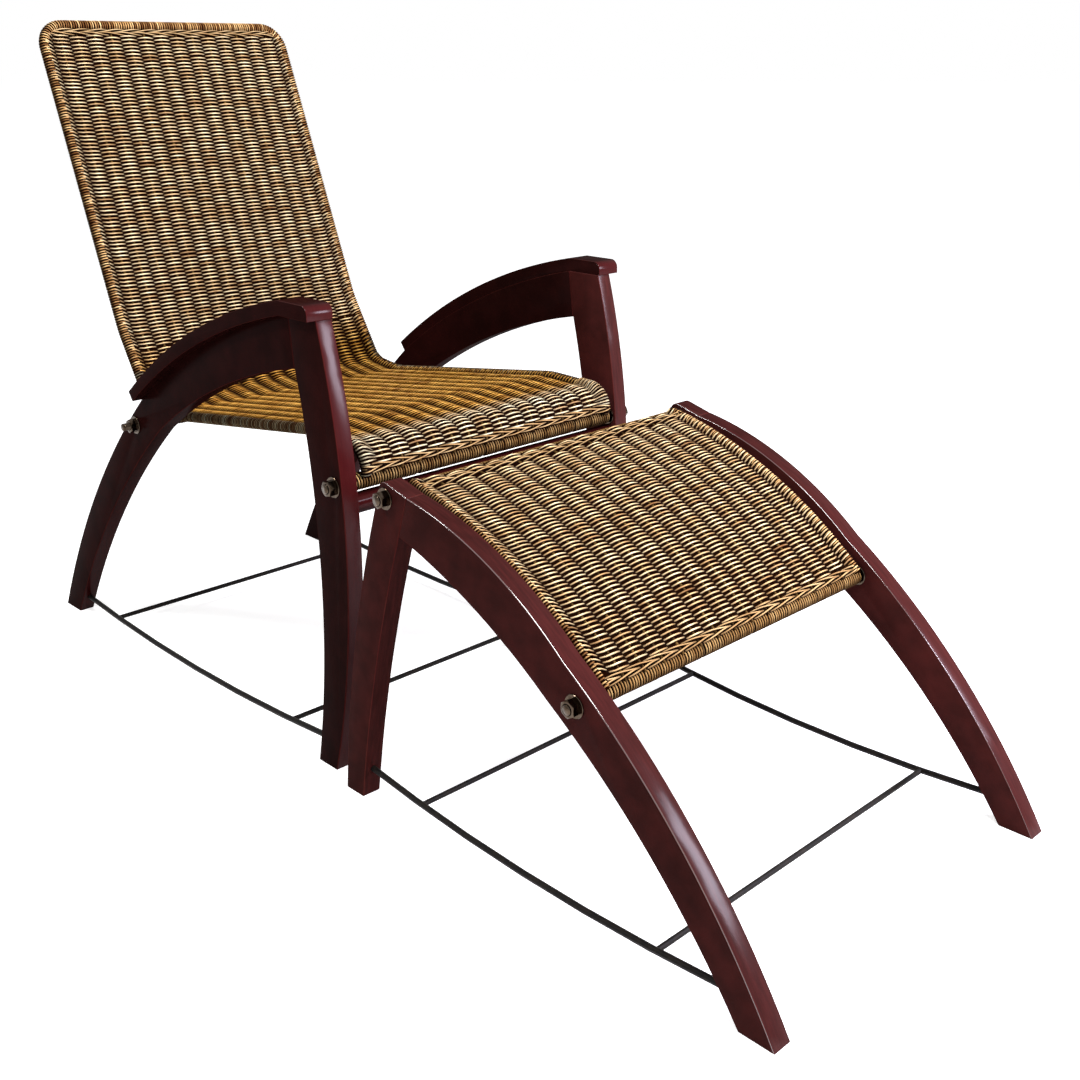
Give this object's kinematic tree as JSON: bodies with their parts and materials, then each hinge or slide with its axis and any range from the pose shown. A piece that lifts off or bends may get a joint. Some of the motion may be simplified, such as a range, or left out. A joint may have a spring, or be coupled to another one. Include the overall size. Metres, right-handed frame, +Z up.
{
  "type": "planters chair",
  "caption": "Low lounge chair with curved wooden arms that run into the rear legs, a woven reed seat and back, and a separate woven footrest.",
  "frame": {"origin": "on the floor, under the middle of the chair and footrest together", "axes": "+Z up, the sitter faces -Y, +X is the sitter's left"},
  "size_m": [0.5988, 1.576, 1.0058],
  "materials": {
    "wood": "dark red-brown gloss lacquer with worn edges",
    "reed": "round reed, plain woven, aged golden tan",
    "iron": "black painted round iron bar",
    "steel": "dull steel"
  },
  "bodies": {
    "chair": {"front_cross_stretcher": "iron", "front_rail": "wood", "front_through_rod": "steel", "hex_nuts": "steel", "inner_washers": "steel", "left_arm_bow": "wood", "left_arm_cap": "wood", "left_arm_cap_dowels": "wood", "left_front_leg": "wood", "left_side_stretcher": "iron", "outer_washers": "steel", "rear_cross_stretcher": "iron", "rear_through_rod": "steel", "right_arm_bow": "wood", "right_arm_cap": "wood", "right_arm_cap_dowels": "wood", "right_front_leg": "wood", "right_side_stretcher": "iron", "seat_edge_frame": "reed", "seat_front_roll": "reed", "seat_rear_roll": "reed", "woven_seat_and_back": "reed"},
    "footrest": {"footrest_front_cross_stretcher": "iron", "footrest_front_rod": "steel", "footrest_front_roll": "reed", "footrest_hex_nuts": "steel", "footrest_inner_washers": "steel", "footrest_outer_washers": "steel", "footrest_rear_cross_stretcher": "iron", "footrest_rear_rod": "steel", "footrest_rear_roll": "reed", "footrest_woven_panel": "reed", "left_footrest_edge_bar": "reed", "left_footrest_rail": "wood", "left_footrest_rear_leg": "wood", "left_footrest_side_stretcher": "iron", "right_footrest_edge_bar": "reed", "right_footrest_rail": "wood", "right_footrest_rear_leg": "wood", "right_footrest_side_stretcher": "iron"}
  },
  "joints": [
    {"name": "footrest_slide", "type": "slide", "parent": "chair", "child": "footrest", "axis": [0, -1, 0], "range_m": [-0.029, 0.45]}
  ]
}
